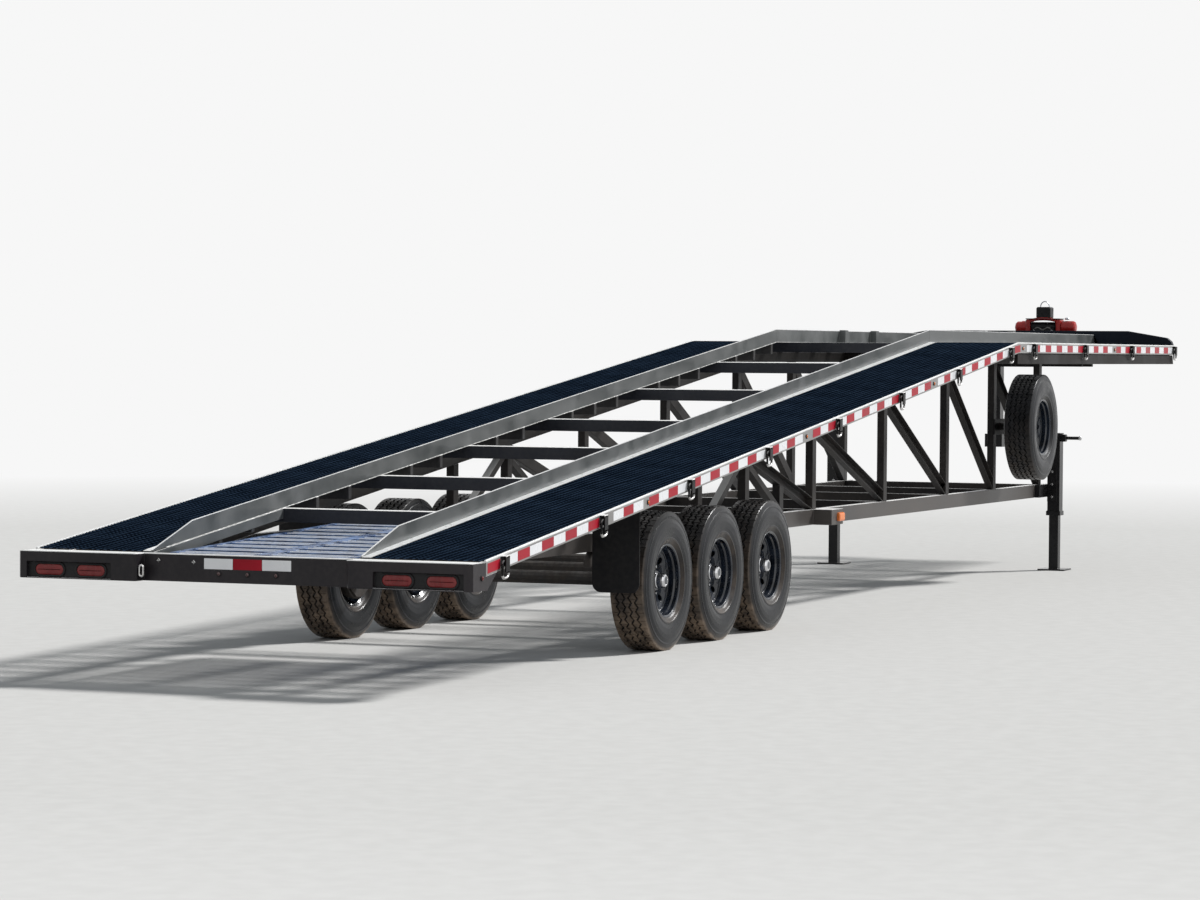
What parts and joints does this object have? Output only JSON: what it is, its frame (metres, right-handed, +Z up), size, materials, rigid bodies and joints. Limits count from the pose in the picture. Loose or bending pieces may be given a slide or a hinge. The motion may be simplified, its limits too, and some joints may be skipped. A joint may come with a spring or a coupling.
{
  "type": "wedge car hauler trailer",
  "caption": "Gooseneck car hauler trailer with wedge runways of expanded metal over a truss frame, single-tyre axles, a hanging spare wheel and parking jacks.",
  "frame": {"origin": "on the ground under the middle of the trailer", "axes": "+X forward to the gooseneck, +Y to the left side, +Z up"},
  "size_m": [14.98, 2.651, 2.199],
  "materials": {
    "frame_paint": "satin charcoal-black frame paint",
    "rail_paint": "grey metallic paint on rails and bumper",
    "deck_paint": "blue-black paint on raised expanded metal",
    "gloss_black": "gloss black paint",
    "wheel_paint": "gloss black wheel paint with a silver hub cap",
    "tyre": "dusty tread and sidewall",
    "rubber": "moulded rubber sheet",
    "lamp_red": "red lens",
    "lamp_amber": "amber lens",
    "ring_steel": "black plate with worn bright edges",
    "ramp_steel": "bare reflective metal",
    "winch_paint": "red and black winch paint"
  },
  "bodies": {
    "trailer": {"axles": "frame_paint", "coupler": "frame_paint", "deck_cross_members": "rail_paint", "deck_edge_beams": "frame_paint", "deck_inner_rails": "rail_paint", "deck_joists": "frame_paint", "deck_side_rails": "rail_paint", "frame_cross_members": "frame_paint", "front_header": "deck_paint", "jack_cranks": "gloss_black", "jack_legs": "gloss_black", "jack_tubes": "gloss_black", "leaf_springs": "frame_paint", "loading_ramps": "ramp_steel", "lower_rails": "frame_paint", "marker_lamps": "lamp_amber", "mud_flap_bars": "frame_paint", "mud_flaps": "rubber", "neck_cross_beams": "frame_paint", "neck_rails": "frame_paint", "ramp_bearers": "frame_paint", "ramp_decking": "deck_paint", "ramp_frame_rails": "frame_paint", "ramp_inner_rails": "rail_paint", "ramp_joists": "frame_paint", "ramp_side_rails": "rail_paint", "rear_bumper": "rail_paint", "spare_carrier": "frame_paint", "spare_tyre": "tyre", "spare_wheel": "wheel_paint", "spring_hangers": "frame_paint", "tail_lamps": "lamp_red", "tie_down_rings": "ring_steel", "truss_diagonals": "frame_paint", "truss_posts": "frame_paint", "upper_decking": "deck_paint", "winch": "winch_paint", "winch_shelf": "gloss_black"},
    "wheel_rear_left": {"wheel_rear_left": "wheel_paint", "tyre_rear_left": "tyre"},
    "wheel_rear_right": {"wheel_rear_right": "wheel_paint", "tyre_rear_right": "tyre"},
    "wheel_middle_left": {"wheel_middle_left": "wheel_paint", "tyre_middle_left": "tyre"},
    "wheel_middle_right": {"wheel_middle_right": "wheel_paint", "tyre_middle_right": "tyre"},
    "wheel_front_left": {"wheel_front_left": "wheel_paint", "tyre_front_left": "tyre"},
    "wheel_front_right": {"wheel_front_right": "wheel_paint", "tyre_front_right": "tyre"}
  },
  "joints": [
    {"name": "rear_left_roll", "type": "hinge", "parent": "trailer", "child": "wheel_rear_left", "pos_m": [-4.296, 1, 0.403], "axis": [0, 1, 0], "continuous": true},
    {"name": "rear_right_roll", "type": "hinge", "parent": "trailer", "child": "wheel_rear_right", "pos_m": [-4.296, -1, 0.403], "axis": [0, 1, 0], "continuous": true},
    {"name": "middle_left_roll", "type": "hinge", "parent": "trailer", "child": "wheel_middle_left", "pos_m": [-3.415, 1, 0.403], "axis": [0, 1, 0], "continuous": true},
    {"name": "middle_right_roll", "type": "hinge", "parent": "trailer", "child": "wheel_middle_right", "pos_m": [-3.415, -1, 0.403], "axis": [0, 1, 0], "continuous": true},
    {"name": "front_left_roll", "type": "hinge", "parent": "trailer", "child": "wheel_front_left", "pos_m": [-2.534, 1, 0.403], "axis": [0, 1, 0], "continuous": true},
    {"name": "front_right_roll", "type": "hinge", "parent": "trailer", "child": "wheel_front_right", "pos_m": [-2.534, -1, 0.403], "axis": [0, 1, 0], "continuous": true}
  ]
}
